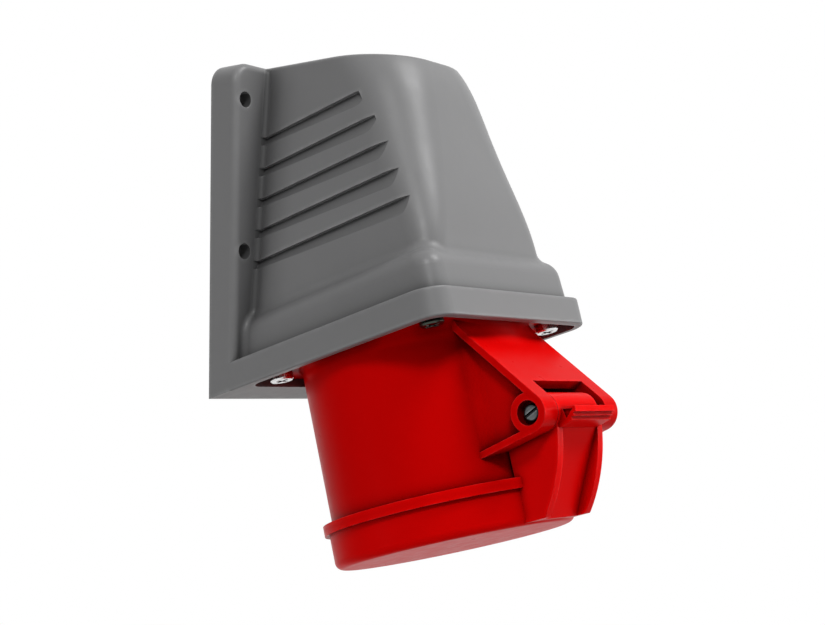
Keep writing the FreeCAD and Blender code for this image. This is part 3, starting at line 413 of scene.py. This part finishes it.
def dress():
    """Gives every node of the model its material."""
    # Each plastic below gets painted shade in its recesses and pockets and painted highlight lines on its
    # edges
    hood = moulded(
        "hood_plastic", color=(0.190, 0.190, 0.192), rough=0.40, grain=0.14, wear_and_highlight=1.35, level=0.27,
        cloud=0.03, reach=4.0 * mm, recess_shade=0.55, shut=0.55, grooved=True, edge_highlight=grey_edge_highlight,
        pocket_shade={"reach": 15.0 * mm, "shut": 0.45, "open": 0.98, "tone": 0.40})
    red = moulded(
        "red_plastic", color=(0.65, 0.0010, 0.0010), rough=0.31, grain=0.06, tint=red_gloss_tint, level=0.02,
        cloud=0.03, reach=6.0 * mm, recess_shade=0.14, below_mouth=True, edge_highlight=red_edge_highlight,
        pocket_shade={"reach": 13.0 * mm, "shut": 0.50, "open": 0.94, "tone": 0.20})
    lid_red = moulded(
        "red_lid_plastic", color=(0.73, 0.0011, 0.0011), rough=0.31, grain=0.06, tint=red_gloss_tint,
        level=0.02, cloud=0.03, reach=4.0 * mm, recess_shade=0.22, edge_highlight=red_edge_highlight)
    carrier = moulded("carrier_plastic", color=(0.045, 0.045, 0.048), rough=0.42, grain=0.12)
    entry = moulded("entry_plastic", color=(0.20, 0.20, 0.205), rough=0.44, grain=0.12)
    seal = rubber("seal_rubber", color=(0.018, 0.018, 0.018))
    # One screw head gets painted shade
    zinc = metal("screw_steel", color=(0.86, 0.86, 0.86), rough=0.22, tarnish=0.85, screw_shade=shaded_zinc)
    pin = metal("pin_steel", color=(0.060, 0.064, 0.066), rough=0.36, edge_gain=2.5)
    wire = metal("spring_steel", color=(0.55, 0.55, 0.57), rough=0.28)
    brass = metal("contact_brass", color=(0.80, 0.58, 0.24), rough=0.24, tarnish=0.80)
    looks = {
        hood: ["wall_box"],
        red: ["socket_housing"],
        lid_red: ["lid"],
        carrier: ["contact_insert", "contact_block", "carrier_retainer"],
        entry: ["entry_plug", "entry_nut"],
        seal: ["box_gasket", "lid_seal", "entry_washer"],
        zinc: ["flange_screws", "carrier_screws", "terminal_screws"],
        pin: ["hinge_pin"],
        wire: ["pin_clip", "lid_spring", "contact_springs"],
        brass: ["contact_pe", "contact_l1", "contact_l2", "contact_l3", "contact_n"],
    }
    for material, names in looks.items():
        for name in names:
            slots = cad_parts[name].data.materials
            slots.clear()
            slots.append(material)


def make_floor():
    """A pale floor, which fades to white far out and keeps the part's shadow."""
    data = bpy.data.meshes.new("floor")
    ends = ((-1, -1), (1, -1), (1, 1), (-1, 1))
    corners = [(x * floor_half, y * floor_half, floor_level) for x, y in ends]
    data.from_pydata(corners, [], [(0, 1, 2, 3)])
    floor = bpy.data.objects.new("floor", data)
    bpy.context.scene.collection.objects.link(floor)
    material, t = new_material("floor_white")
    where = t.place()
    flat = t.add("ShaderNodeVectorMath", {"operation": "MULTIPLY"}, i0=where, i1=(1.0, 1.0, 0.0)).outputs[0]
    away = t.add("ShaderNodeVectorMath", {"operation": "LENGTH"}, i0=flat).outputs["Value"]
    share = t.math("MULTIPLY", t.seen(),
                   t.spread(away, floor_fade_start, floor_fade_end, floor_white_near, 1.0))
    grain = t.noise(where, floor_grain)
    tone = t.blend(t.spread(grain, noise_low, noise_high), grey(floor_dark), grey(floor_light))
    matt = t.add("ShaderNodeBsdfDiffuse", Color=tone).outputs[0]
    bright = t.add("ShaderNodeEmission", Strength=1.0).outputs[0]
    mixed = t.add("ShaderNodeMixShader", i0=share, i1=matt, i2=bright).outputs[0]
    t.add("ShaderNodeOutputMaterial", Surface=mixed)
    data.materials.append(material)


def make_world():
    """White where the world is seen or mirrored, and a soft grey dome as a light."""
    world = bpy.data.worlds.new("world")
    bpy.context.scene.world = world
    world.use_nodes = True
    t = Tree(world.node_tree)
    way = t.parts(t.add("ShaderNodeTexCoord").outputs["Generated"])
    dome = t.blend(t.spread(way["Z"], dome_low, dome_high), grey(dome_dark), grey(dome_light))
    soft = t.add("ShaderNodeBackground", Color=dome, Strength=1.0).outputs[0]
    plain = t.add("ShaderNodeBackground", Color=white, Strength=1.0).outputs[0]
    mixed = t.add("ShaderNodeMixShader", i0=t.seen(), i1=soft, i2=plain).outputs[0]
    t.add("ShaderNodeOutputWorld", Surface=mixed)


def make_lamp(name, towards, distance, width, power, target=part_middle):
    """A round soft lamp that shines at its target from a given way and distance."""
    data = bpy.data.lights.new(name, "AREA")
    data.shape = "DISK"
    data.size = width
    data.energy = power
    lamp = bpy.data.objects.new(name, data)
    bpy.context.scene.collection.objects.link(lamp)
    way = Vector(towards).normalized()
    lamp.location = Vector(target) + way * distance
    lamp.rotation_mode = "QUATERNION"
    lamp.rotation_quaternion = (-way).to_track_quat("-Z", "Y")


make_camera()
dress()
make_floor()
make_world()
make_lamp("key", towards=(0.20, -0.52, 0.83), distance=1.3, width=0.50, power=11.4)
make_lamp("side", towards=(0.72, -0.69, 0.05), distance=1.3, width=0.50, power=5.7)
make_lamp("edge", towards=(-0.59, -0.51, 0.63), distance=1.3, width=0.26, power=6.4)
make_lamp("fill", towards=(-0.85, 0.40, -0.18), distance=0.9, width=0.30, power=1.2, target=barrel_middle)

bpy.context.scene.view_settings.view_transform = "Standard"
